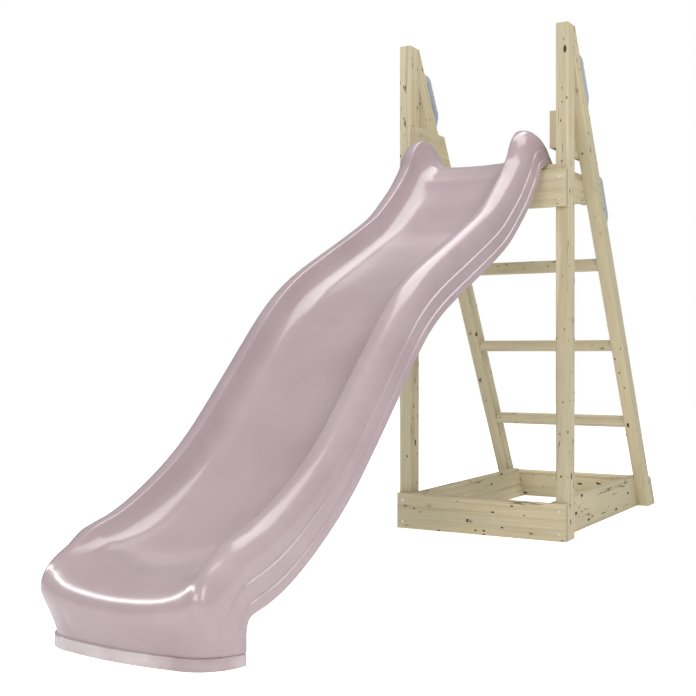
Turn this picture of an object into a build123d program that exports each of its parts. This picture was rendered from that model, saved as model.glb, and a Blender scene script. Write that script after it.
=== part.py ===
"""Toddler slide: a moulded wave chute on a small timber ladder tower.

Millimetres, +Z up. The chute runs out towards -Y, the ladder is at the +Y end, +X is the right-hand
side seen from the run-out. The origin is on the ground under the middle of the whole object.
"""
from build123d import *
from math import cos, radians, sin, tan
import os

# Timber tower
frame_width = 604.0
post_width = 41.0
post_depth = 65.0
post_height = 1660.0
board_thickness = 21.0
board_height = 120.0
ladder_angle = 29.8
stringer_depth = 62.0
stringer_top_step = 3.0
rung_height = 41.0
rung_depth = 58.0
rung_bottoms = {"lower": 319.0, "middle": 607.0, "upper": 894.0}
platform_board_bottom = 1069.0
deck_bottom = platform_board_bottom + board_height
deck_thickness = 19.0
deck_top = deck_bottom + deck_thickness
deck_gap = 4.0
bearer_thickness = 35.0
bearer_height = 70.0
cross_bearer_setback = 6.0
guard_bottom = 1260.0
edge_round = 1.5

# Screws and dowels
screw_shank_radius = 2.5
screw_head_radius = 5.0
screw_head_depth = 3.5
screw_length = 52.0
screw_inset = 22.0
screw_side_inset = 24.0
rear_screw_inset = 26.0
side_screw_bite = 30.0
base_side_screw_heights = (42.0, 78.0)
guard_screw_insets = (22.0, 98.0)
bearer_screw_drops = (56.0, 38.0)
cross_bearer_screw_drops = (18.0, 47.0)
cross_bearer_screw_length = 70.0
stringer_screw_heights = (1600.0, 1632.0)
stringer_screw_length = 80.0
stringer_screw_sink = 1.0
dowel_radius = 6.0
dowel_length = 44.0
dowel_offset = 13.0

# Grab handles
handle_length = 220.0
handle_width = 32.0
handle_rise = 60.0
handle_bar = 22.0
handle_bar_round = 6.0
handle_bend_round = 22.0
handle_pad = 46.0
handle_pad_thickness = 7.0
handle_end_inset = 12.0
handle_grooves = 9
handle_groove_pitch = 11.0
handle_groove_radius = 4.2
handle_groove_depth = 1.6
handle_screw_inset = 11.0
handle_screw_length = 42.0
handle_centres = {"lower": 1119.0, "upper": 1493.0}

# Slide chute
chute_half_width = 235.0
chute_height = 125.0
chute_floor_height = 56.0
chute_wall = 5.0
rail_inner_half = 168.0
rail_crown_half = 182.0
lip_length = 72.0
chute_steps = 44
slide_reach = 1805.0
foot_reach = 1780.0
foot_corner = 100.0
foot_bow = 11.0
heel_reach = 1671.0
trim_height = 24.0
trim_step = 4.0
nose_rear = 1640.0
nose_overlap = 10.0
foot_rise_start = 0.72
foot_crest_rise = 19.0
foot_floor_rise = 42.0

# Play left between the moulded lip and the deck it lies on
lip_clearance = 0.2
lip_screw_spread = 110.0
lip_screw_back = 40.0
lip_screw_height = 14.3
lip_screw_length = 30.0

tower_depth = (stringer_top_step + post_depth + post_height * tan(radians(ladder_angle))
               + board_thickness / cos(radians(ladder_angle)))
post_front_y = (slide_reach - tower_depth) / 2
half = frame_width / 2
inner = half - post_width
slope = tan(radians(ladder_angle))

# Bottom edge of the chute side wall, as (reach in front of the posts, height)
bottom_edge = [(95, 1130), (160, 1060), (240, 992), (330, 926), (440, 868), (560, 812), (690, 753),
               (800, 698), (890, 636), (980, 552), (1080, 453), (1180, 357), (1280, 270), (1380, 202),
               (1480, 147), (1580, 109), (1655, 94)]

# Fan of cross-sections over the lip and the hand fins: bottom point, crest point, floor height
entry_fan = [((-lip_length, deck_top), (-lip_length, deck_top + 17), 14.0),
             ((-58, deck_top), (-58, deck_top + 26), 14.0),
             ((-38, deck_top), (-40, deck_top + 60), 14.0),
             ((-14, deck_top), (-14, deck_top + 82), 14.0),
             ((6, deck_top + 0.5), (16, deck_top + 95), 16.0),
             ((22, 1203), (34, 1307), 19.0),
             ((42, 1194), (62, 1310), 21.0),
             ((56, 1187), (98, 1305), 26.0),
             ((66, 1174), (136, 1284), 34.0),
             ((78, 1153), (168, 1249), 46.0)]

# Nose: plan outlines from the ground up, as (height, half width, front reach)
nose_levels = [(trim_height, 231, 1776), (70, 236, 1792), (112, 239, slide_reach), (132, 236, 1800),
               (150, 231, 1788), (164, 224, 1772), (180, 215, 1752), (196, 206, 1732),
               (222, 192, 1704), (240, 178, 1682)]
nose_floor = [(1560, 203), (1640, 191), (1700, 182), (1730, 174), (1755, 165), (1775, 151), (1830, 105)]


def slab(x0, x1, y0, y1, z0, z1):
    """A board or post between two corners, with eased edges."""
    block = Pos((x0 + x1) / 2, (y0 + y1) / 2, (z0 + z1) / 2) * Box(abs(x1 - x0), abs(y1 - y0), abs(z1 - z0))
    return fillet(block.edges(), edge_round)


def side_prism(points, x0, x1):
    """A closed (y, z) outline pushed along X from x0 to x1."""
    outline = Polyline(*[(x0, y, z) for y, z in points], close=True)
    return extrude(make_face(outline), amount=x1 - x0, dir=(1, 0, 0))


def tower_y(back):
    """Y of a point that lies a given distance behind the front faces of the posts."""
    return post_front_y + back


def stringer_rear(z):
    return tower_y(post_depth + stringer_top_step + (post_height - z) * slope)


def stringer_front(z):
    return stringer_rear(z) - stringer_depth / cos(radians(ladder_angle))


def mirrored(side, x):
    return x if side == "right" else -x


# Timber parts

def front_post(side):
    return slab(mirrored(side, inner), mirrored(side, half), tower_y(0), tower_y(post_depth), 0, post_height)


def ladder_stringer(side):
    x0, x1 = sorted((mirrored(side, inner), mirrored(side, half)))
    post_back = tower_y(post_depth)
    wedge_z = post_height - (post_back - stringer_front(post_height)) / slope
    outline = [(stringer_front(0), 0), (stringer_rear(0), 0), (stringer_rear(post_height), post_height),
               (post_back, post_height), (post_back, wedge_z)]
    solid = side_prism(outline, x0, x1)
    long_edges = [e for e in solid.edges() if e.length > 1000]
    return fillet(long_edges, edge_round)


def rung(name):
    z0 = rung_bottoms[name]
    middle = z0 + rung_height / 2
    y = (stringer_front(middle) + stringer_rear(middle)) / 2
    return slab(-inner, inner, y - rung_depth / 2, y + rung_depth / 2, z0, z0 + rung_height)


def front_board(z0):
    return slab(-half, half, tower_y(-board_thickness), tower_y(0), z0, z0 + board_height)


def side_board(side, z0):
    """A board on the inner faces of a post and its stringer, cut at the slant of the stringer."""
    x0, x1 = sorted((mirrored(side, inner), mirrored(side, inner - board_thickness)))
    z1 = z0 + board_height
    outline = [(tower_y(0), z0), (stringer_rear(z0), z0), (stringer_rear(z1), z1), (tower_y(0), z1)]
    solid = side_prism(outline, x0, x1)
    return fillet(solid.edges(), edge_round)


def base_rear_board():
    across = board_thickness / cos(radians(ladder_angle))
    top = board_height * cos(radians(ladder_angle))
    shift = board_thickness * sin(radians(ladder_angle))
    outline = [(stringer_rear(0), 0), (stringer_rear(0) + across, 0),
               (stringer_rear(top) + across - shift * slope, top + shift), (stringer_rear(top), top)]
    solid = side_prism(outline, -half, half)
    return fillet(solid.edges(), edge_round)


def platform_bearer(side):
    x0, x1 = sorted((mirrored(side, inner), mirrored(side, inner - bearer_thickness)))
    z0 = deck_bottom - bearer_height
    outline = [(tower_y(0), z0), (stringer_rear(z0), z0), (stringer_rear(deck_bottom), deck_bottom),
               (tower_y(0), deck_bottom)]
    return fillet(side_prism(outline, x0, x1).edges(), edge_round)


def platform_rear_bearer():
    reach = inner - bearer_thickness
    back = stringer_rear(deck_bottom) - cross_bearer_setback
    return slab(-reach, reach, back - bearer_thickness, back, deck_bottom - bearer_height, deck_bottom)


def deck_boards():
    """Three boards across the bearers, from the posts' front faces to the stringers' rear faces."""
    back = stringer_rear(deck_top)
    width = (back - tower_y(0) - 2 * deck_gap) / 3
    boards = {}
    for index, place in enumerate(("front", "middle", "rear")):
        y0 = tower_y(0) + index * (width + deck_gap)
        boards[f"deck_board_{place}"] = slab(-inner, inner, y0, y0 + width, deck_bottom, deck_top)
    return boards


# Grab handles

def grab_handle(side, level):
    """A bar that stands off the stringer on two flat pads, with finger grooves along its back."""
    run = handle_length / 2
    centre_z = handle_rise - handle_bar / 2
    bend = run - handle_pad
    end = run - handle_end_inset
    path = Polyline((0, -end, handle_bar / 4), (0, -bend, centre_z), (0, bend, centre_z), (0, end, handle_bar / 4))
    path = Wire(path).fillet_2d(handle_bend_round, path.vertices()[1:3])
    section = RectangleRounded(handle_width - 2, handle_bar * 0.8, handle_bar_round)
    bar = sweep(Plane(path @ 0, z_dir=path % 0) * section, path=path)
    ground = Box(handle_width * 2, handle_length * 2, handle_bar * 2, align=(Align.CENTER, Align.CENTER, Align.MAX))
    solid = bar - ground
    for way in (-1, 1):
        pad = Pos(0, way * (run - handle_pad / 2), handle_pad_thickness / 2) * Box(
            handle_width, handle_pad, handle_pad_thickness)
        solid += fillet(pad.edges().filter_by(Axis.Z), 8)
    groove_z = centre_z + handle_bar * 0.4 + handle_groove_radius - handle_groove_depth
    for index in range(handle_grooves):
        along = (index - (handle_grooves - 1) / 2) * handle_groove_pitch
        solid -= Pos(0, along, groove_z) * Rot(0, 90, 0) * Cylinder(handle_groove_radius, handle_width * 2)
    z = handle_centres[level]
    tilt = Plane(origin=(mirrored(side, half - post_width / 2), stringer_rear(z), z), x_dir=(1, 0, 0),
                 z_dir=(0, cos(radians(ladder_angle)), sin(radians(ladder_angle))))
    return tilt * solid


# Fasteners

def screw(start, direction, length=screw_length):
    """A countersunk screw whose head is flush with the face at start."""
    shank = Cylinder(screw_shank_radius, length, align=(Align.CENTER, Align.CENTER, Align.MIN))
    head = Cone(screw_head_radius, screw_shank_radius, screw_head_depth,
                align=(Align.CENTER, Align.CENTER, Align.MIN))
    return Plane(origin=start, z_dir=direction) * (shank + head)


def dowel(start, direction):
    return Plane(origin=start, z_dir=direction) * Cylinder(dowel_radius, dowel_length)


def front_board_screws(z0):
    places = [(x, z) for x in (-half + screw_inset, half - screw_inset)
              for z in (z0 + screw_side_inset, z0 + board_height - screw_side_inset)]
    return [screw((x, tower_y(-board_thickness), z), (0, 1, 0)) for x, z in places]


def base_rear_screws():
    normal = (0, -cos(radians(ladder_angle)), -sin(radians(ladder_angle)))
    screws = []
    for x in (-half + screw_inset, half - screw_inset):
        for along in (rear_screw_inset, board_height - rear_screw_inset):
            z = along * cos(radians(ladder_angle))
            y = stringer_rear(z) - board_thickness * normal[1]
            screws.append(screw((x, y, z - board_thickness * normal[2]), normal))
    return screws


def inner_face_screws(heights, thickness):
    """Screws from inside the tower, through a side board, into the post and the stringer."""
    screws = []
    for side in ("left", "right"):
        face = mirrored(side, inner - thickness)
        outward = (mirrored(side, 1), 0, 0)
        for z in heights:
            middle = (stringer_front(z) + stringer_rear(z)) / 2
            for y in (tower_y(post_depth / 2), middle):
                screws.append(screw((face, y, z), outward, length=thickness + side_screw_bite))
    return screws


def deck_screws(boards):
    screws = []
    for board in boards.values():
        box = board.bounding_box()
        for x in (-inner + bearer_thickness / 2, inner - bearer_thickness / 2):
            for y in (box.min.Y + screw_inset, box.max.Y - screw_inset):
                screws.append(screw((x, y, deck_top), (0, 0, -1)))
    return screws


def stringer_screws():
    """Two screws a side, level, from the back of each stringer's tip into its post."""
    screws = []
    for x in (-half + post_width / 2, half - post_width / 2):
        for z in stringer_screw_heights:
            head = (x, stringer_rear(z) - stringer_screw_sink, z)
            screws.append(screw(head, (0, -1, 0), length=stringer_screw_length))
    return screws


def cross_bearer_screws():
    back = stringer_rear(deck_bottom) - cross_bearer_setback - bearer_thickness / 2
    screws = []
    for side in ("left", "right"):
        inward = (-mirrored(side, 1), 0, 0)
        for drop in cross_bearer_screw_drops:
            head = (mirrored(side, inner), back, deck_bottom - drop)
            screws.append(screw(head, inward, length=cross_bearer_screw_length))
    return screws


def rung_dowels():
    dowels = []
    for z0 in rung_bottoms.values():
        z = z0 + rung_height / 2
        y = (stringer_front(z) + stringer_rear(z)) / 2
        for side in ("left", "right"):
            for offset in (-dowel_offset, dowel_offset):
                dowels.append(dowel((mirrored(side, inner), y + offset, z), (1, 0, 0)))
    return dowels


def handle_screws():
    normal = (0, -cos(radians(ladder_angle)), -sin(radians(ladder_angle)))
    along = (0, -sin(radians(ladder_angle)), cos(radians(ladder_angle)))
    screws = []
    for x in (-half + post_width / 2, half - post_width / 2):
        for z in handle_centres.values():
            for end in (-1, 1):
                run = end * (handle_length / 2 - handle_screw_inset)
                y = stringer_rear(z) + along[1] * run - handle_pad_thickness * normal[1]
                head = (x, y, z + along[2] * run - handle_pad_thickness * normal[2])
                screws.append(screw(head, normal, length=handle_screw_length))
    return screws


def lip_screws():
    return [screw((x, tower_y(lip_screw_back), deck_top + lip_screw_height), (0, 0, -1), length=lip_screw_length)
            for x in (-lip_screw_spread, lip_screw_spread)]


# Slide chute

def chute_stations():
    """Cross-sections from the lip to the foot: bottom point, crest point and floor height."""
    stations = [((tower_y(-b[0]), b[1]), (tower_y(-c[0]), c[1]), f) for b, c, f in entry_fan]
    edge = Spline(*[(0, tower_y(-reach), z) for reach, z in bottom_edge])
    for index in range(chute_steps + 1):
        spot = index / chute_steps
        base = edge @ spot
        tangent = edge % spot
        rise = max(0.0, spot - foot_rise_start) / (1 - foot_rise_start)
        height = chute_height + foot_crest_rise * rise
        floor = chute_floor_height + foot_floor_rise * rise ** 1.6
        crest = (base.Y + tangent.Z * height, base.Z - tangent.Y * height)
        stations.append(((base.Y, base.Z), crest, floor))
    return stations


def chute_section(base, crest, floor):
    """The hat-shaped section of the moulded channel, one wall thick, open underneath."""
    height = ((crest[0] - base[0]) ** 2 + (crest[1] - base[1]) ** 2) ** 0.5
    up = ((crest[0] - base[0]) / height, (crest[1] - base[1]) / height)
    wide = chute_half_width
    depth = max(height - floor, 2.0)
    skin = chute_wall

    def at(x, h):
        return Vector(x, base[0] + up[0] * h, base[1] + up[1] * h)

    def path(inset):
        """Half of one skin from the bottom edge to the middle, as chains of points."""
        top = height - inset
        return [[(wide - inset, 0), (wide - 1 - inset, 0.15 * height)],
                [(wide - 1 - inset, 0.15 * height), (wide - 4 - inset, 0.18 * height)],
                [(wide - 4 - inset, 0.18 * height), (wide - 6 - inset, 0.43 * height)],
                [(wide - 6 - inset, 0.43 * height), (wide - 9 - inset, 0.46 * height)],
                [(wide - 9 - inset, 0.46 * height), (wide - 14 - inset, 0.66 * height),
                 (wide - 27 - inset * 0.7, 0.88 * height - inset * 0.5), (rail_crown_half, top)],
                [(rail_crown_half, top), (rail_inner_half + inset * 0.8, top - 0.01 * height)],
                [(rail_inner_half + inset * 0.8, top - 0.01 * height),
                 (rail_inner_half - 13 + inset * 0.9, floor + 0.5 * depth - inset * 0.6),
                 (rail_inner_half - 32 + inset * 0.5, floor + 0.16 * depth - inset * 0.9),
                 (rail_inner_half - 66, floor + 0.02 * depth - inset)]]

    def skin_edges(inset):
        chains = path(inset)
        centre = [(rail_inner_half - 66, chains[-1][-1][1]), (0, floor - 3 - inset),
                  (66 - rail_inner_half, chains[-1][-1][1])]
        other = [[(-x, h) for x, h in reversed(chain)] for chain in reversed(chains)]
        return [Spline(*[at(x, h) for x, h in chain]) if len(chain) > 2 else
                Line(at(*chain[0]), at(*chain[1])) for chain in chains + [centre] + other]

    outer = skin_edges(0)
    lining = skin_edges(skin)
    rims = [Line(at(wide - skin, 0), at(wide, 0)), Line(at(-wide, 0), at(skin - wide, 0))]
    return Face(Wire(outer + [rims[1]] + lining[::-1] + [rims[0]]))


def nose_outline(z, half_width, front, rear, inset):
    """Plan outline of the foot at one height: square heel, round corners and a bowed front."""
    wide = half_width - inset
    radius = min(foot_corner, half_width - 60, front - foot_bow - rear - 10) - inset
    tip = front - inset
    shoulder = tip - foot_bow - radius
    mid = radius * (1 - cos(radians(45)))
    side_y = tower_y(-shoulder)
    corner_y = tower_y(-(tip - foot_bow))
    bend = (wide - mid, tower_y(-(tip - foot_bow - mid)))
    return Wire([Line((wide, tower_y(-rear), z), (wide, side_y, z)),
                 ThreePointArc((wide, side_y, z), (bend[0], bend[1], z), (wide - radius, corner_y, z)),
                 ThreePointArc((wide - radius, corner_y, z), (0, tower_y(-tip), z), (radius - wide, corner_y, z)),
                 ThreePointArc((radius - wide, corner_y, z), (-bend[0], bend[1], z), (-wide, side_y, z)),
                 Line((-wide, side_y, z), (-wide, tower_y(-rear), z)),
                 Line((-wide, tower_y(-rear), z), (wide, tower_y(-rear), z))])


def nose_solid(rear, inset):
    """The foot and nose as one solid loaf; inset makes the smaller one that hollows it."""
    levels = [(z - inset, w, front) for z, w, front in nose_levels]
    levels[0] = (0.0 - inset, nose_levels[0][1], nose_levels[0][2])
    faces = [Face(nose_outline(z, w, front, rear, inset)) for z, w, front in levels]
    return loft(faces, ruled=True)


def channel_cut(half_width, drop):
    """Everything above the run-out floor between the rails."""
    floor = [(tower_y(-reach), z - drop) for reach, z in nose_floor]
    roof = [(tower_y(-1900), 110 - drop), (tower_y(-1900), 400), (tower_y(-1560), 400)]
    curve = Spline(*[(-half_width, y, z) for y, z in floor])
    lid = Polyline(*[(-half_width, y, z) for y, z in floor[-1:] + roof + floor[:1]])
    return extrude(make_face(Wire([curve] + lid.edges())), amount=2 * half_width, dir=(1, 0, 0))


def heel_cut():
    """Everything behind the heel, with a rounded corner up to the bottom edge of the chute."""
    back = tower_y(-(nose_rear - 2 * nose_overlap))
    outline = [(back, -10), (tower_y(-heel_reach), -10), (tower_y(-heel_reach), 70),
               (tower_y(-heel_reach + 5), 84), (tower_y(-heel_reach + 18), 94), (back, 101)]
    return side_prism(outline, -half, half)


def trim_band():
    """The band round the foot, standing proud of the wall above it."""
    rear = nose_rear - nose_overlap
    outer = nose_outline(0, chute_half_width, foot_reach, nose_rear, 0)
    lining = nose_outline(0, chute_half_width, foot_reach, rear, trim_step + chute_wall)
    up = (0, 0, 1)
    band = extrude(Face(outer), amount=trim_height, dir=up)
    return band - extrude(Face(lining), amount=trim_height, dir=up)


def slide_chute():
    channel = loft([chute_section(*station) for station in chute_stations()])
    deck_space = Box(frame_width, 2 * lip_length, lip_length, align=(Align.CENTER, Align.MIN, Align.MAX))
    channel -= Pos(0, tower_y(0), deck_top + lip_clearance) * deck_space
    loaf = nose_solid(nose_rear, 0) - channel_cut(rail_inner_half - 4, 0)
    hollow = nose_solid(nose_rear - nose_overlap, chute_wall) - channel_cut(rail_inner_half + 1, chute_wall)
    return channel + (loaf - hollow + trim_band() - heel_cut())


def build():
    parts = {"slide_chute": slide_chute(),
             "base_front_board": front_board(0),
             "platform_front_board": front_board(platform_board_bottom),
             "base_rear_board": base_rear_board(),
             "platform_rear_bearer": platform_rear_bearer()}
    for side in ("left", "right"):
        parts[f"front_post_{side}"] = front_post(side)
        parts[f"ladder_stringer_{side}"] = ladder_stringer(side)
        parts[f"base_side_board_{side}"] = side_board(side, 0)
        parts[f"guard_board_{side}"] = side_board(side, guard_bottom)
        parts[f"platform_bearer_{side}"] = platform_bearer(side)
        for level in handle_centres:
            parts[f"grab_handle_{level}_{side}"] = grab_handle(side, level)
    for name in rung_bottoms:
        parts[f"rung_{name}"] = rung(name)
    boards = deck_boards()
    parts.update(boards)
    fasteners = {"base_front_screws": front_board_screws(0),
                 "platform_front_screws": front_board_screws(platform_board_bottom),
                 "base_rear_screws": base_rear_screws(),
                 "base_side_screws": inner_face_screws(base_side_screw_heights, board_thickness),
                 "guard_board_screws": inner_face_screws([guard_bottom + rise for rise in guard_screw_insets],
                                                         board_thickness),
                 "bearer_screws": inner_face_screws([deck_bottom - drop for drop in bearer_screw_drops],
                                                    bearer_thickness),
                 "cross_bearer_screws": cross_bearer_screws(),
                 "deck_screws": deck_screws(boards),
                 "stringer_screws": stringer_screws(),
                 "rung_dowels": rung_dowels(),
                 "handle_screws": handle_screws(),
                 "slide_lip_screws": lip_screws()}
    for name, part in parts.items():
        near = part.bounding_box()
        for group in fasteners.values():
            for item in group:
                box = item.bounding_box()
                apart = (box.min.X > near.max.X or box.max.X < near.min.X or box.min.Y > near.max.Y
                         or box.max.Y < near.min.Y or box.min.Z > near.max.Z or box.max.Z < near.min.Z)
                if not apart:
                    part = part - item
        parts[name] = part
    for name, group in fasteners.items():
        parts[name] = Compound(children=group)
    return parts


os.makedirs("parts", exist_ok=True)
for part_name, shape in build().items():
    export_step(shape, f"parts/{part_name}.step")
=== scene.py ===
"""Looks for the toddler slide: a moulded wave chute on a small pine ladder tower.

Metres, +Z up, the chute runs out towards -Y. The chute is laid out in millimetres from the front faces of the
posts and the top of the deck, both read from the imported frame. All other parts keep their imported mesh.
"""
import bpy
import math
import numpy as np
from mathutils import Matrix, Vector


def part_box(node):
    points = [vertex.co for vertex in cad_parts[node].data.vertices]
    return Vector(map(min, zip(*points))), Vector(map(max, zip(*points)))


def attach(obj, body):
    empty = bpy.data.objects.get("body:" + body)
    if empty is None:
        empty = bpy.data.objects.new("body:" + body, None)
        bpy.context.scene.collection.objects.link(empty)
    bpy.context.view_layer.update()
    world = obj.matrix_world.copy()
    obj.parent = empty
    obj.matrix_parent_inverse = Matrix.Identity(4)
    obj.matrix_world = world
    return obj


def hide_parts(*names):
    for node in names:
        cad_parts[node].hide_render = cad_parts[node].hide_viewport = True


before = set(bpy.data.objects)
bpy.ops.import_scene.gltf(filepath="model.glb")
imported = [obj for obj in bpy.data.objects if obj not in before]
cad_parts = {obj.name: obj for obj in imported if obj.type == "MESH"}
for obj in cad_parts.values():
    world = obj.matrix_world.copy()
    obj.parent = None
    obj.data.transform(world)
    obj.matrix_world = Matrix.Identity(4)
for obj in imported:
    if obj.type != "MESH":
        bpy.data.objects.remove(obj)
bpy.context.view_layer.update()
scene = bpy.context.scene

MM = 0.001
POST_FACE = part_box("front_post_right")[0].y

# The ladder's stringers lean back from upright by this much
LEAN = math.radians(29.8)
UP_STRINGER = Vector((0, -math.sin(LEAN), math.cos(LEAN)))


# ---------------------------------------------------------------- small helpers

def spline_at(knots, values, where):
    """Natural cubic spline through values (rows) at knots, read at where."""
    knots = np.asarray(knots, float)
    values = np.asarray(values, float)
    flat = values.reshape(len(knots), -1)
    gap = np.diff(knots)
    count = len(knots)
    system = np.eye(count)
    right = np.zeros_like(flat)
    for i in range(1, count - 1):
        system[i, i - 1] = gap[i - 1]
        system[i, i] = 2 * (gap[i - 1] + gap[i])
        system[i, i + 1] = gap[i]
        right[i] = 6 * ((flat[i + 1] - flat[i]) / gap[i] - (flat[i] - flat[i - 1]) / gap[i - 1])
    bend = np.linalg.solve(system, right)
    cell = np.clip(np.searchsorted(knots, where, side="right") - 1, 0, count - 2)
    step = gap[cell][:, None]
    a = (knots[cell + 1][:, None] - np.asarray(where)[:, None]) / step
    b = 1 - a
    out = (a * flat[cell] + b * flat[cell + 1]
           + ((a ** 3 - a) * bend[cell] + (b ** 3 - b) * bend[cell + 1]) * step ** 2 / 6)
    return out.reshape((len(where),) + values.shape[1:])


def smooth_step(value, low, high):
    """0 below low, 1 above high, with a smooth rise between."""
    t = np.clip((np.asarray(value, float) - low) / (high - low), 0, 1)
    return t * t * (3 - 2 * t)


def chord_lengths(points):
    """Distance along a polyline at each of its points."""
    points = np.asarray(points, float)
    return np.concatenate([[0], np.cumsum(np.linalg.norm(np.diff(points, axis=0), axis=1))])


def mesh_object(name, points, faces, smooth=True):
    """A new object in the scene from points and faces."""
    mesh = bpy.data.meshes.new(name)
    mesh.from_pydata([tuple(p) for p in points], [], faces)
    mesh.update()
    if smooth:
        mesh.polygons.foreach_set("use_smooth", [True] * len(mesh.polygons))
    thing = bpy.data.objects.new(name, mesh)
    scene.collection.objects.link(thing)
    return thing


# ---------------------------------------------------------------- slide shape (millimetres)

DECK_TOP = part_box("deck_board_front")[1].z / MM
CHUTE_HEIGHT = 125.0
FLOOR_HEIGHT = 56.0
FLOOR_DISH = 3.1
SKIN = 0.005

# Half section: outer wall as (x, share of the height, line number), with two moulded steps
OUTER_WALL = [(235, 0, 0), (234.4, 0.148, 1), (230.2, 0.173, 1.25), (229.4, 0.430, 2), (225.2, 0.455, 2.25)]
SHOULDER_HALF = 224.0
SHOULDER_DROP = 50.0
SHOULDER_SHARE = 0.42
STEP_SHARPNESS = 0.9
CROWN_HALF = 180.0
CROWN_REACH = 44.0
CROWN_FULLNESS = 0.9
CROWN_POINTS = 14
EDGE_HALF = 168.0
EDGE_FULL_HEIGHT = 60.0
EDGE_DROP = 3.2
COVE_HALF = 104.0
COVE_POINTS = 16
FLOOR_POINTS = 9

# Towards the foot the rails and the floor rise above the bottom edge
CHUTE_ROWS = 52
RISE_START = 0.72
CREST_RISE = 19.0
CREST_SETTLE = 10.0
FLOOR_RISE = 42.0
DISH_RISE = 9.0
ROW_SPACING = 9.0

# Bottom edge of the side wall, as (reach in front of the posts, height)
BOTTOM_EDGE = [(95, 1130), (160, 1060), (240, 992), (330, 926), (440, 868), (560, 812), (690, 753),
               (800, 698), (890, 636), (980, 552), (1080, 453), (1180, 357), (1280, 270), (1380, 202),
               (1480, 147), (1580, 109), (1655, 94)]

# Sections over the lip and the hand fins: bottom point, crest point, floor height
ENTRY_FAN = [((-72, DECK_TOP), (-72, DECK_TOP + 17), 14.0),
             ((-58, DECK_TOP), (-58, DECK_TOP + 26), 14.0),
             ((-38, DECK_TOP), (-40, DECK_TOP + 60), 14.0),
             ((-14, DECK_TOP), (-14, DECK_TOP + 82), 14.0),
             ((6, DECK_TOP + 0.5), (16, DECK_TOP + 95), 16.0),
             ((22, 1203), (34, 1307), 19.0),
             ((42, 1194), (62, 1310), 21.0),
             ((56, 1187), (98, 1305), 26.0),
             ((66, 1174), (136, 1284), 34.0),
             ((78, 1153), (168, 1249), 46.0)]

# Foot: outline on the ground, the way its wall leans with height, and the roll over its top
GROUND_HALF = 229.6
GROUND_FRONT = 1774.6
GROUND_BOW = 11.0
CORNER = 100.0
BOW_SLOPE = 0.10
TRIM_PROUD = 5.4
STEP_DEPTH = 2.7
WALL_FOOT = 27.0
TRIM_TOP = 26.0 * MM
TRIM_BLUR = 1.5 * MM
OUTLINE_PASSES = 6

# At the corners the wall leans later and further out, by these shares
CORNER_DELAY = 0.17
CORNER_PUSH = 0.12
SIDE_LEAN = [(0, 0), (27, 0), (70, 5), (112, 8), (132, 6), (150, 0), (164, -6), (180, -13)]
FRONT_LEAN = [(0, 0), (27, 0), (45, 8), (66, 17), (86, 26), (102, 30.4), (115, 29), (126, 24), (136, 14.5),
              (142, 6.4), (150, -8)]

# Where each line number meets the ground, as distance along the foot's outline from the heel
FOOT_MARKS = [0, 1, 1.25, 2, 2.25, 3, 4, 5, 6, 7, 8]
FOOT_SPOTS = [7, 27, 32, 58, 63, 76, 98, 118, 142, 182, 288]

# Rows of the foot's wall: share of the height under the roll, and how much of the roll's offset is left
WALL_ROWS = [(0.86, 0.72), (0.73, 0.4), (0.60, 0.16), (0.46, 0.04), (0.31, 0), (0.15, 0), (0, 0)]

# Trim band: height, share of the wall's own offset, extra offset
TRIM_ROWS = [(26.2, 1, 0.0), (25.7, 1, -0.9), (25.0, 1, -1.6), (24.4, 0.6, -1.0), (24.1, 0, 3.2),
             (23.6, 0, 4.7), (22.4, 0, TRIM_PROUD), (12.0, 0, TRIM_PROUD), (2.0, 0, TRIM_PROUD),
             (0.6, 0, TRIM_PROUD - 0.5), (0.0, 0, TRIM_PROUD - 1.6)]

# Lines that run down over the foot, from the last cross-section: (x, reach, height) at five places
FOOT_LINES = [
    (0.00, [(229.6, 1661, 90), (229.6, 1666.5, 83), (229.6, 1669.5, 74), (229.6, 1671, 65),
            (229.6, 1671, 56)]),
    (1.25, [(228.0, 1669, 111), (228.2, 1677, 102), (228.5, 1684, 93), (228.6, 1690, 82),
            (228.8, 1693, 71)]),
    (2.25, [(225.0, 1684, 150), (224.6, 1697, 139), (223.8, 1708, 126), (222.8, 1718, 112),
            (221.5, 1725, 97)]),
    (3.00, [(222.5, 1691, 178), (221.5, 1706, 169), (221.0, 1721, 159), (220.5, 1735, 146),
            (219.5, 1746, 130)]),
    (4.00, [(187.0, 1704, 208), (190.0, 1720, 200), (193.0, 1737, 193), (195.0, 1755, 182),
            (196.0, 1773, 165)]),
    (5.00, [(167.5, 1702, 200), (168.0, 1718, 195.5), (168.5, 1735, 189.5), (169.0, 1754, 180),
            (169.0, 1774, 163)]),
    (6.00, [(150.0, 1699, 191), (150.0, 1716, 187), (150.0, 1734, 181), (149.0, 1754, 171),
            (147.0, 1775, 155)]),
    (7.00, [(105.0, 1697, 182), (105.5, 1716, 177), (106.0, 1736, 169.5), (105.5, 1757, 160),
            (104.5, 1778, 146)]),
    (8.00, [(0.0, 1697, 175), (0.0, 1717, 170), (0.0, 1738, 163.5), (0.0, 1761, 154), (0.0, 1783, 140)])]
FOOT_PLACES = 5

# Evening out where the rails run into the foot
ALONG_PASSES = 10
ACROSS_PASSES = 6
EDGE_HOLD = 0.9


def between(start, end, count):
    """Points from start up to, but without, end."""
    return [tuple(a + (b - a) * i / count for a, b in zip(start, end)) for i in range(count)]


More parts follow.
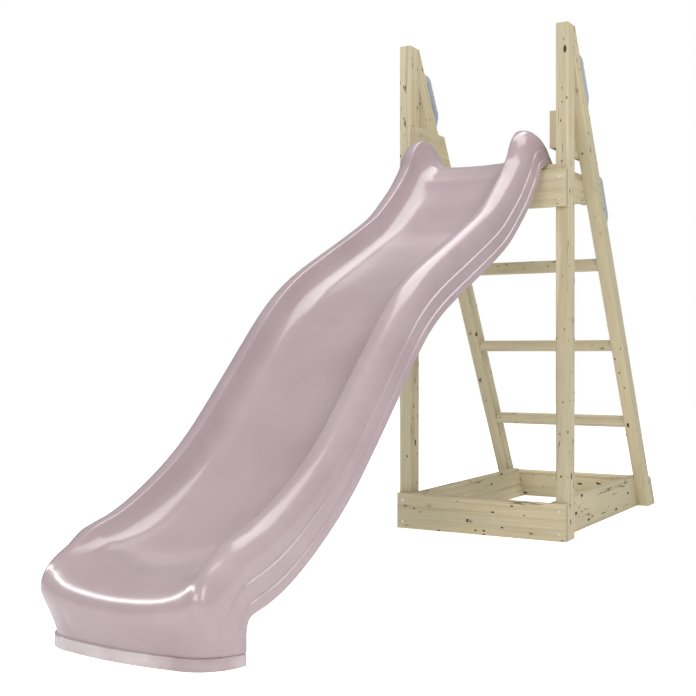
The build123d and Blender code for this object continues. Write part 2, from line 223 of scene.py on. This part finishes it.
def half_section(height, floor, dish=FLOOR_DISH):
    """Half of the chute's section from the bottom edge to the middle, as (x, h, line number).

    Line numbers: 0 bottom edge, 1 and 1.25 lower step, 2 and 2.25 upper step, 3 shoulder, 4 crest,
    5 inner edge, 6 inner wall, 7 side of the floor, 8 middle.
    """
    drop = min(SHOULDER_DROP, SHOULDER_SHARE * height)
    depth = height - floor
    crisp = min(1.0, height / EDGE_FULL_HEIGHT)
    line = []
    turns = OUTER_WALL + [(SHOULDER_HALF, 1 - drop / height, 3)]
    for (x0, h0, k0), (x1, h1, k1) in zip(turns[:-1], turns[1:]):
        h0, h1 = h0 * height, h1 * height
        near = min(0.3, STEP_SHARPNESS / math.hypot(x1 - x0, h1 - h0))
        for t in (0.0, near, 0.5, 1 - near):
            line.append((x0 + (x1 - x0) * t, h0 + (h1 - h0) * t, k0 + (k1 - k0) * t))
    for i in range(CROWN_POINTS):
        angle = i / CROWN_POINTS * math.pi / 2
        line.append((CROWN_HALF + CROWN_REACH * math.cos(angle) ** CROWN_FULLNESS,
                     height - drop + drop * math.sin(angle), 3 + i / CROWN_POINTS))
    top = height - min(EDGE_DROP, 0.3 * depth)
    edge = [(CROWN_HALF, height, 4), (EDGE_HALF + 4 * crisp, height - 0.2 * crisp, 4.5),
            (EDGE_HALF + 1.2 * crisp, height - 1.0 * crisp, 4.75), (EDGE_HALF, top, 5)]
    for start, end, count in zip(edge[:-1], edge[1:], (2, 1, 1)):
        line += between(start, end, count)
    cove = [(EDGE_HALF, top), (EDGE_HALF - 13, floor + 0.36 * depth), (EDGE_HALF - 21, floor + 3.2),
            (COVE_HALF, floor + 0.4)]
    for i in range(COVE_POINTS):
        t = i / COVE_POINTS
        weights = ((1 - t) ** 3, 3 * t * (1 - t) ** 2, 3 * t * t * (1 - t), t ** 3)
        line.append((sum(w * p[0] for w, p in zip(weights, cove)),
                     sum(w * p[1] for w, p in zip(weights, cove)), 5 + 2 * t))
    for i in range(FLOOR_POINTS):
        share = i / (FLOOR_POINTS - 1)
        x = COVE_HALF * (1 - share)
        line.append((x, floor - dish + (dish + 0.4) * (x / COVE_HALF) ** 2, 7 + share))
    return np.array(line)


def section_row(base, crest, floor, dish=FLOOR_DISH):
    """One cross-section placed in space, as (x, reach, z) per point."""
    base = np.array(base, float)
    crest = np.array(crest, float)
    height = np.linalg.norm(crest - base)
    up = (crest - base) / height
    shape = half_section(height, floor, dish)
    place = base + shape[:, 1:2] * up
    return np.column_stack([shape[:, 0], place])


def chute_rows():
    """All cross-sections from the lip to the start of the foot."""
    rows = [section_row(*station) for station in ENTRY_FAN]
    knots = chord_lengths(BOTTOM_EDGE)
    spots = np.linspace(0, knots[-1], CHUTE_ROWS)
    base = spline_at(knots, BOTTOM_EDGE, spots)
    step = 0.5
    ahead = spline_at(knots, BOTTOM_EDGE, np.minimum(spots + step, knots[-1]))
    behind = spline_at(knots, BOTTOM_EDGE, np.maximum(spots - step, 0))
    along = ahead - behind
    along /= np.linalg.norm(along, axis=1)[:, None]
    for i, spot in enumerate(spots / knots[-1]):
        rise = max(0.0, spot - RISE_START) / (1 - RISE_START)
        height = CHUTE_HEIGHT + CREST_RISE * rise - CREST_SETTLE * smooth_step(spot, 0.97, 1.0)
        floor = FLOOR_HEIGHT + FLOOR_RISE * rise ** 1.6
        up = np.array((-along[i][1], along[i][0]))
        rows.append(section_row(base[i], base[i] + up * height, floor, FLOOR_DISH + DISH_RISE * rise ** 1.5))
    return rows


def ground_outline(along):
    """Point on the foot's ground outline and its outward direction, by distance from the shoulder."""
    shoulder = GROUND_FRONT - GROUND_BOW - CORNER
    quarter = CORNER * math.pi / 2
    if along < quarter:
        angle = along / CORNER
        point = (GROUND_HALF - CORNER + CORNER * math.cos(angle), shoulder + CORNER * math.sin(angle))
        return point, (math.cos(angle), math.sin(angle))
    x = max(0.0, GROUND_HALF - CORNER - (along - quarter))
    share = x / (GROUND_HALF - CORNER)
    slope = BOW_SLOPE * math.sin(share * math.pi / 2)
    return (x, GROUND_FRONT - GROUND_BOW * share ** 2), (slope, math.sqrt(1 - slope * slope))


def foot_rows(kinds):
    """Rows of the foot from below the last cross-section down to the trim band."""
    along = np.interp(kinds, FOOT_MARKS, FOOT_SPOTS)
    for _ in range(OUTLINE_PASSES):
        along[1:-1] = along[1:-1] * 0.5 + (along[:-2] + along[2:]) * 0.25
    ground = np.array([ground_outline(a)[0] for a in along])
    out = np.array([ground_outline(a)[1] for a in along])
    to_front = smooth_step(np.arctan2(out[:, 1], out[:, 0]) / (math.pi / 2), 0.05, 0.6)
    corner = 1 - smooth_step(kinds, 4.6, 8.0)
    bulge = smooth_step(kinds, 0.0, 2.4)
    strip = TRIM_PROUD - STEP_DEPTH * (smooth_step(kinds, 1.0, 1.25) + smooth_step(kinds, 2.0, 2.25))
    side_z, side_o = np.array(SIDE_LEAN, float).T
    front_z, front_o = np.array(FRONT_LEAN, float).T
    lines = np.array([points for _, points in FOOT_LINES], float)
    top = spline_at([k for k, _ in FOOT_LINES], lines, kinds)
    top[:, :, :2] += (out * strip[:, None])[:, None, :]
    top[-1, :, 0] = 0

    def wall(z):
        """Points of the foot's wall at the given heights, one per line."""
        front = np.interp(z * (1 - CORNER_DELAY * corner), front_z, front_o) * (1 + CORNER_PUSH * corner)
        lean = np.interp(z, side_z, side_o) * bulge * (1 - to_front) + front * to_front
        xy = ground + out * (lean + strip)[:, None]
        xy[-1, 0] = 0
        return np.column_stack([xy, z])

    rows = [top[:, i] for i in range(FOOT_PLACES)]
    edge = top[:, -1]
    gap = edge - wall(edge[:, 2])
    for share, fade in WALL_ROWS:
        rows.append(wall(WALL_FOOT + (edge[:, 2] - WALL_FOOT) * share) + gap * fade)
    return rows, ground, out, strip


def full_width(rows):
    """Both halves of every row: right bottom edge over the middle to the left bottom edge."""
    rows = np.array(rows)
    left = rows[:, -2::-1].copy()
    left[:, :, 0] *= -1
    return np.concatenate([rows, left], axis=1)


def soften_foot(grid, kinds, where, start, end):
    """Evens out the surface where the rails run into the foot, leaving the creases of the wall alone."""
    leaves = 1 - smooth_step(where, end - 10, end + 40)
    along = 0.5 * (smooth_step(where, start - 40, start) * leaves)[1:-1, None, None]
    leaves = 1 - smooth_step(where, end, end + 50)
    across = 0.5 * (smooth_step(where, start, start + 30) * leaves)[:, None, None]
    inner_edge = smooth_step(kinds, 4.0, 4.5) * (1 - smooth_step(kinds, 5.2, 5.8))
    free = (smooth_step(kinds, 2.3, 2.8) * (1 - EDGE_HOLD * inner_edge))[None, 1:-1, None]
    for _ in range(ALONG_PASSES):
        middle = (grid[:-2] + grid[2:]) / 2
        grid[1:-1] += along * (middle - grid[1:-1])
    for _ in range(ACROSS_PASSES):
        middle = (grid[:, :-2] + grid[:, 2:]) / 2
        grid[:, 1:-1] += across * free * (middle - grid[:, 1:-1])
    return grid


def build_slide():
    """The chute as one skin: cross-sections, foot and trim band on one grid, mirrored and thickened."""
    kinds = half_section(CHUTE_HEIGHT, FLOOR_HEIGHT)[:, 2]
    rows = chute_rows()
    foot, ground, out, strip = foot_rows(kinds)
    keys = np.array(rows + foot)
    gaps = np.linalg.norm(np.diff(keys, axis=0), axis=2).mean(axis=1) + 1.0
    knots = np.concatenate([[0], np.cumsum(gaps)])
    counts = np.maximum(1, np.round(np.diff(knots) / ROW_SPACING).astype(int))
    spans = [knots[i] + np.arange(n) / n * (knots[i + 1] - knots[i]) for i, n in enumerate(counts)]
    where = np.concatenate(spans + [[knots[-1]]])
    start = knots[len(rows) - 1]
    end = knots[len(rows) + FOOT_PLACES]
    fine = list(soften_foot(spline_at(knots, keys, where), kinds, where, start, end))
    for z, own, offset in TRIM_ROWS:
        xy = ground + out * (strip * own + offset)[:, None]
        xy[-1, 0] = 0
        fine.append(np.column_stack([xy, np.full(len(xy), z)]))
    grid = full_width(fine)
    count_u, count_v = grid.shape[:2]
    points = np.column_stack([grid[:, :, 0].ravel() * MM, POST_FACE - grid[:, :, 1].ravel() * MM,
                              grid[:, :, 2].ravel() * MM])
    faces = []
    for i in range(count_u - 1):
        for j in range(count_v - 1):
            a = i * count_v + j
            faces.append((a, a + 1, a + count_v + 1, a + count_v))
    slide = mesh_object("slide_shell", points, faces)
    thick = slide.modifiers.new("wall", "SOLIDIFY")
    thick.thickness = SKIN
    thick.offset = -1
    thick.use_even_offset = False
    return slide


slide = build_slide()
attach(slide, "root")
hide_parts("slide_chute")


# ---------------------------------------------------------------- materials

class Nodes:
    """Short hand for building one material's nodes."""

    def __init__(self, name):
        self.material = bpy.data.materials.new(name)
        self.material.use_nodes = True
        self.tree = self.material.node_tree
        self.shader = self.tree.nodes["Principled BSDF"]
        coords = self.tree.nodes.new("ShaderNodeTexCoord")
        self.place = coords.outputs["Object"]

    def node(self, kind, inputs=(), **settings):
        """A node with its settings; each input is a value or another node's output."""
        made = self.tree.nodes.new(kind)
        for key, value in settings.items():
            setattr(made, key, value)
        for key, value in dict(inputs).items():
            if isinstance(value, bpy.types.NodeSocket):
                self.tree.links.new(value, made.inputs[key])
            else:
                made.inputs[key].default_value = value
        return made

    def mapped(self, scale, turn=(0, 0, 0), shift=(0, 0, 0), source=None):
        """Coordinates turned, moved and scaled."""
        inputs = {"Vector": source or self.place, "Scale": scale, "Rotation": turn, "Location": shift}
        return self.node("ShaderNodeMapping", inputs).outputs[0]

    def noise(self, where, scale, detail=3.0, rough=0.5, distortion=0.0):
        inputs = {"Vector": where, "Scale": scale, "Detail": detail, "Roughness": rough,
                  "Distortion": distortion}
        return self.node("ShaderNodeTexNoise", inputs).outputs["Fac"]

    def growth_rings(self, where, scale, distortion, **detail):
        """Saw-toothed rings about the board's length."""
        inputs = {"Vector": where, "Scale": scale, "Distortion": distortion}
        inputs.update({key.replace("_", " ").title(): value for key, value in detail.items()})
        return self.node("ShaderNodeTexWave", inputs, wave_type="RINGS", rings_direction="X",
                         wave_profile="SAW").outputs["Fac"]

    def ramp(self, fac, stops):
        """Colours along a ramp, from (place, colour) pairs."""
        made = self.node("ShaderNodeValToRGB", {"Fac": fac})
        elements = made.color_ramp.elements
        while len(elements) < len(stops):
            elements.new(0.5)
        for element, (spot, colour) in zip(elements, stops):
            element.position = spot
            element.color = (*colour, 1)
        return made.outputs["Color"]

    def mask(self, fac, low, high):
        """0 at low, 1 at high, smooth between."""
        return self.node("ShaderNodeMapRange", {"Value": fac, "From Min": low, "From Max": high},
                         interpolation_type="SMOOTHSTEP").outputs["Result"]

    def scaled(self, fac, low, high, least, most):
        """fac from low to high, mapped to least to most."""
        inputs = {"Value": fac, "From Min": low, "From Max": high, "To Min": least, "To Max": most}
        return self.node("ShaderNodeMapRange", inputs).outputs["Result"]

    def math(self, how, *values):
        return self.node("ShaderNodeMath", dict(enumerate(values)), operation=how).outputs[0]

    def mix(self, fac, a, b):
        """Colour a where fac is 0, colour b where it is 1."""
        made = self.node("ShaderNodeMix", data_type="RGBA")
        for name, value in (("Factor_Float", fac), ("A_Color", a), ("B_Color", b)):
            socket = next(item for item in made.inputs if item.identifier == name)
            if isinstance(value, bpy.types.NodeSocket):
                self.tree.links.new(value, socket)
            else:
                socket.default_value = value if name == "Factor_Float" else (*value, 1)
        return next(item for item in made.outputs if item.identifier == "Result_Color")

    def bump(self, height, strength, distance, after=None):
        inputs = {"Height": height, "Strength": strength, "Distance": distance}
        if after is not None:
            inputs["Normal"] = after
        return self.node("ShaderNodeBump", inputs).outputs["Normal"]

    def finish(self, colour, roughness, normal):
        """Joins the three results to the shader and gives the material."""
        for key, value in (("Base Color", colour), ("Roughness", roughness), ("Normal", normal)):
            self.tree.links.new(value, self.shader.inputs[key])
        return self.material


# How coordinates turn so that X runs along the grain, and the grain's direction on the object
GRAIN_TURN = {"x": (0, 0, 0), "y": (0, 0, math.radians(-90)), "z": (0, math.radians(90), 0),
              "stringer": (-LEAN, math.radians(90), 0)}
GRAIN_AXIS = {"x": (1, 0, 0), "y": (0, 1, 0), "z": (0, 0, 1), "stringer": tuple(UP_STRINGER)}

PIN_KNOT = (0.040, 0.022, 0.012)
KNOT_HALO = (0.30, 0.205, 0.11)
CRACK = (0.12, 0.075, 0.04)
STREAK = (0.31, 0.225, 0.13)
GREEN_TINT = (0.475, 0.440, 0.285)
TIMBER_SPECULAR = 0.32
CRACK_WIDTH = 0.0055

# Two sizes of knot: cells along and across the grain, share of cells left out, smallest size, size range
KNOT_SIZES = [(13.0, 30.0, 0.50, 0.05, 0.11), (30.0, 55.0, 0.62, 0.06, 0.11)]


def pine_knots(n, board):
    """Masks of the knots' dark cores and of the halo round them."""
    core, halo = 0.0, 0.0
    for along, across, left_out, least, span in KNOT_SIZES:
        cells = n.node("ShaderNodeTexVoronoi", {"Vector": n.mapped((along, across, across), source=board),
                                                "Scale": 1.0, "Randomness": 1.0})
        pick = n.node("ShaderNodeSeparateColor", {"Color": cells.outputs["Color"]}).outputs
        distance = cells.outputs["Distance"]
        chosen = n.mask(pick[0], left_out, left_out + 0.02)
        size = n.math("MULTIPLY_ADD", pick[1], span, least)
        inside = n.math("LESS_THAN", distance, size)
        core = n.math("MAXIMUM", core, n.math("MULTIPLY", inside, chosen))
        near = n.math("MULTIPLY", n.mask(distance, 0.26, 0.05), chosen)
        halo = n.math("MAXIMUM", halo, n.math("MULTIPLY", near, 0.45))
    return core, halo


def pine_end_grain(n, board, axis):
    """Mask of the sawn ends and their colour."""
    normal = n.node("ShaderNodeNewGeometry").outputs["Normal"]
    facing = n.node("ShaderNodeVectorMath", {0: normal, 1: GRAIN_AXIS[axis]},
                    operation="DOT_PRODUCT").outputs["Value"]
    end = n.mask(n.math("ABSOLUTE", facing), 0.72, 0.82)
    rings = n.growth_rings(n.mapped((0.2, 34, 34), source=board), 1.6, 2.2, detail=2.0)
    pores = n.noise(n.mapped((40, 700, 700), source=board), 1.0, 2.0, 0.7)
    ringed = n.ramp(rings, [(0.0, (0.53, 0.46, 0.31)), (0.9, (0.35, 0.265, 0.15)), (1.0, (0.50, 0.43, 0.28))])
    return end, n.mix(n.math("MULTIPLY", pores, 0.5), ringed, (0.31, 0.25, 0.155))


def pine(name, axis, seed, warm=0.0):
    """Planed, green-treated pine: growth lines, fibres, streaks, knots, checks and end grain.

    axis says how the grain runs, seed moves the pattern, and warm from 0 to 1 makes the wood redder.
    """
    n = Nodes(name)
    shift = (seed * 3.17 % 7, seed * 1.31 % 5, seed * 2.03 % 6)
    board = n.mapped((1, 1, 1), GRAIN_TURN[axis], shift)
    light = (0.590 + 0.03 * warm, 0.510, 0.330 - 0.03 * warm)
    dark = (0.420 + 0.03 * warm, 0.343, 0.200 - 0.02 * warm)
    middle = tuple(0.75 * a + 0.25 * b for a, b in zip(light, dark))
    slow = n.noise(n.mapped((1.6, 9, 9), source=board), 1.0, 2.0)
    growth = n.growth_rings(n.mapped((0.55, 8.5, 8.5), source=board), 1.35, 5.5, detail=2.5,
                            detail_scale=0.9, detail_roughness=0.55)
    fibre = n.noise(n.mapped((9, 320, 320), source=board), 1.0, 3.0, 0.6)
    colour = n.ramp(growth, [(0.0, light), (0.55, middle), (0.93, dark), (1.0, light)])
    colour = n.mix(n.mask(slow, 0.35, 0.75), colour, GREEN_TINT)
    colour = n.mix(0.30, colour, n.ramp(slow, [(0.3, (0.56, 0.50, 0.345)), (0.7, (0.415, 0.350, 0.225))]))
    colour = n.mix(0.22, colour, n.ramp(fibre, [(0.3, (0.27, 0.205, 0.12)), (0.65, (0.62, 0.56, 0.40))]))

    streak = n.noise(n.mapped((1.1, 26, 26), shift=(2.0, 0.7, 0), source=board), 1.0, 2.0, 0.5, 0.3)
    colour = n.mix(n.math("MULTIPLY", n.mask(streak, 0.60, 0.72), 0.45), colour, STREAK)

    core, halo = pine_knots(n, board)
    colour = n.mix(halo, colour, KNOT_HALO)
    colour = n.mix(core, colour, PIN_KNOT)

    split = n.noise(n.mapped((1.7, 30, 30), shift=(5.0, 1.7, 3.1), source=board), 1.0, 1.5, 0.45, 0.5)
    where = n.noise(n.mapped((2.4, 8, 8), shift=(1.3, 4.2, 0.4), source=board), 1.0, 1.0)
    line = n.math("LESS_THAN", n.math("ABSOLUTE", n.math("SUBTRACT", split, 0.5)), CRACK_WIDTH)
    crack = n.math("MULTIPLY", line, n.mask(where, 0.53, 0.57))
    colour = n.mix(n.math("MULTIPLY", crack, 0.85), colour, CRACK)

    end, sawn = pine_end_grain(n, board, axis)
    colour = n.mix(end, colour, sawn)

    n.shader.inputs["Specular IOR Level"].default_value = TIMBER_SPECULAR
    rough = n.scaled(n.math("ADD", fibre, n.math("MULTIPLY", slow, 0.6)), 0.4, 1.2, 0.52, 0.78)
    raised = n.math("ADD", n.math("MULTIPLY", fibre, 0.35), n.math("MULTIPLY", growth, 0.30))
    sunk = n.math("ADD", crack, n.math("MULTIPLY", core, 0.6))
    return n.finish(colour, rough, n.bump(n.math("SUBTRACT", raised, sunk), 0.42, 0.0011))


def moulded(name, colour, shade, gloss, grain=260.0, peel=0.12, trim=None):
    """Moulded plastic: faint mottling, slow changes of gloss, orange peel and a thin coat.

    trim is the colour of the band round the foot, if there is one.
    """
    n = Nodes(name)
    cloud = n.noise(n.place, 5.5, 3.0, 0.55)
    speck = n.noise(n.place, 420.0, 2.0, 0.6)
    darker = tuple(0.72 * c for c in colour)
    paler = tuple(min(1.0, 1.12 * c) for c in colour)
    tone = n.mix(n.mask(cloud, 0.35, 0.68), colour, shade)
    tone = n.mix(0.06, tone, n.ramp(speck, [(0.35, darker), (0.65, paler)]))
    if trim is not None:
        height = n.node("ShaderNodeSeparateXYZ", {"Vector": n.place}).outputs["Z"]
        band = n.mask(height, TRIM_TOP + TRIM_BLUR, TRIM_TOP - TRIM_BLUR)
        tone = n.mix(band, tone, n.mix(n.mask(cloud, 0.35, 0.68), trim, shade))
    rough = n.scaled(n.noise(n.place, 2.2, 2.0, 0.4), 0.25, 0.75, gloss, gloss + 0.06)
    fine = n.bump(n.noise(n.place, grain, 2.0, 0.5), peel, 0.0004)
    wavy = n.bump(n.noise(n.place, 6.0, 1.0, 0.4), 0.10, 0.004, fine)
    for key, value in (("Specular IOR Level", 0.5), ("Coat Weight", 0.12), ("Coat Roughness", 0.12),
                       ("Subsurface Weight", 0.05), ("Subsurface Scale", 0.004)):
        n.shader.inputs[key].default_value = value
    return n.finish(tone, rough, wavy)


def zinc(name):
    """Zinc-plated steel with spangle and a little brown wear."""
    n = Nodes(name)
    spangle = n.noise(n.place, 900.0, 3.0, 0.6)
    wear = n.noise(n.place, 160.0, 2.0)
    tone = n.ramp(spangle, [(0.3, (0.46, 0.45, 0.42)), (0.7, (0.72, 0.71, 0.68))])
    tone = n.mix(n.math("MULTIPLY", n.mask(wear, 0.52, 0.7), 0.5), tone, (0.30, 0.25, 0.18))
    n.shader.inputs["Metallic"].default_value = 0.9
    rough = n.scaled(wear, 0.0, 1.0, 0.28, 0.55)
    return n.finish(tone, rough, n.bump(spangle, 0.3, 0.0003))


def paint(node, material):
    """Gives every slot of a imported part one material."""
    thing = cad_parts[node]
    if not thing.material_slots:
        thing.data.materials.append(material)
    for slot in thing.material_slots:
        slot.material = material


# Grain direction by the start of a part's name
GRAIN_OF = {"front_post": "z", "ladder_stringer": "stringer", "rung": "x", "base_front": "x",
            "base_rear": "x", "platform_front": "x", "platform_rear": "x", "deck_board": "x",
            "base_side": "y", "guard_board": "y", "platform_bearer": "y"}
DOWEL_SEED = 41

steel = zinc("zinc_steel")
grip = moulded("grip_plastic", (0.36, 0.41, 0.47), (0.30, 0.345, 0.41), 0.38, grain=500.0, peel=0.25)
dowel_wood = pine("dowel_beech", "x", DOWEL_SEED, 1.0)
for number, node in enumerate(sorted(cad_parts)):
    if node == "slide_chute":
        continue
    if node.endswith("screws"):
        paint(node, steel)
    elif node.endswith("dowels"):
        paint(node, dowel_wood)
    elif node.startswith("grab_handle"):
        paint(node, grip)
    else:
        axis = next(grain for start, grain in GRAIN_OF.items() if node.startswith(start))
        paint(node, pine("pine_" + node, axis, number + 1, 0.5 if number % 3 == 0 else 0.0))

slide.data.materials.append(moulded("slide_pink", (0.388, 0.303, 0.316), (0.358, 0.272, 0.286), 0.19,
                                    trim=(0.54, 0.475, 0.485)))


# ---------------------------------------------------------------- stage, light and camera

FLOOR_HALF = 9.0
FLOOR_Z = -0.0005
FLOOR_GLOW = 0.24
FLOOR_GLOW_SEEN = 0.52

corners = [(-FLOOR_HALF, -FLOOR_HALF, FLOOR_Z), (FLOOR_HALF, -FLOOR_HALF, FLOOR_Z),
           (FLOOR_HALF, FLOOR_HALF, FLOOR_Z), (-FLOOR_HALF, FLOOR_HALF, FLOOR_Z)]
floor = mesh_object("floor", corners, [(0, 1, 2, 3)], smooth=False)
pale = Nodes("pale_floor")
pale.shader.inputs["Emission Color"].default_value = (1, 1, 1, 1)
seen = pale.node("ShaderNodeLightPath").outputs["Is Camera Ray"]
glow = pale.math("ADD", pale.math("MULTIPLY", seen, FLOOR_GLOW_SEEN), FLOOR_GLOW)
pale.tree.links.new(glow, pale.shader.inputs["Emission Strength"])
paper = pale.noise(pale.place, 30.0, 3.0)
paper_tone = pale.ramp(paper, [(0.3, (0.92, 0.92, 0.92)), (0.7, (0.94, 0.94, 0.94))])
floor.data.materials.append(pale.finish(paper_tone, pale.mask(paper, -0.4, 1.2),
                                        pale.bump(paper, 0.05, 0.0005)))

# The camera sees a white backdrop; everything else is lit by a dimmer, slightly cool one
world = bpy.data.worlds.new("studio")
world.use_nodes = True
sky = world.node_tree.nodes
backdrop = sky["Background"]
backdrop.inputs["Color"].default_value = (1, 1, 1, 1)
backdrop.inputs["Strength"].default_value = 1.0
ambient = sky.new("ShaderNodeBackground")
ambient.inputs["Color"].default_value = (0.93, 0.96, 1.0, 1)
ambient.inputs["Strength"].default_value = 0.42
rays = sky.new("ShaderNodeLightPath")
either = sky.new("ShaderNodeMixShader")
for source, target in ((rays.outputs["Is Camera Ray"], either.inputs["Fac"]),
                       (ambient.outputs["Background"], either.inputs[1]),
                       (backdrop.outputs["Background"], either.inputs[2]),
                       (either.outputs["Shader"], sky["World Output"].inputs["Surface"])):
    world.node_tree.links.new(source, target)
scene.world = world


def area_light(name, place, aim, size, power):
    """A rectangular light at place, facing aim."""
    data = bpy.data.lights.new(name, "AREA")
    data.shape = "RECTANGLE"
    data.size, data.size_y = size
    data.energy = power
    lamp = bpy.data.objects.new(name, data)
    lamp.location = place
    lamp.rotation_euler = (Vector(aim) - Vector(place)).to_track_quat("-Z", "Y").to_euler()
    scene.collection.objects.link(lamp)
    return lamp


# A long light without diffuse light makes the bright line across the roll of the nose
NOSE = Vector((0.0, -1.42, 0.13))
GLEAM_ALONG = Vector((2.57, -2.66, 1.80))

area_light("overhead", (0.6, 0.9, 4.2), (0, -0.2, 0.5), (3.4, 2.6), 112)
area_light("key", (-2.2, -3.4, 3.4), (0, -0.6, 0.5), (1.2, 1.6), 26)
area_light("front_fill", (0.9, -5.0, 2.3), (0.2, 0, 0.8), (2.4, 1.6), 74)
gleam = area_light("nose_gleam", (-1.75, -2.43, 1.93), NOSE, (4.1, 0.34), 70)
long_axis = GLEAM_ALONG.normalized()
away = gleam.location - NOSE
away = (away - away.dot(long_axis) * long_axis).normalized()
gleam.rotation_euler = Matrix((long_axis, away.cross(long_axis), away)).transposed().to_euler()
gleam.visible_diffuse = False
area_light("right_fill", (3.0, -2.3, 2.2), (0.2, -0.4, 0.8), (1.4, 2.0), 56)

# A level camera in front of the chute's right side
CAMERA_PLACE = (1.4891, -3.0589, 0.6073)
CAMERA_TURN = math.radians(30.21)
LENS_MM = 57.92
LENS_SHIFT = (0.0015, 0.0045)

camera_data = bpy.data.cameras.new("camera")
camera_data.sensor_width = 36.0
camera_data.lens = LENS_MM
camera_data.shift_x, camera_data.shift_y = LENS_SHIFT
camera = bpy.data.objects.new("camera", camera_data)
camera.location = CAMERA_PLACE
camera.rotation_euler = (math.radians(90), 0, CAMERA_TURN)
scene.collection.objects.link(camera)
scene.camera = camera
scene.view_settings.view_transform = "Standard"
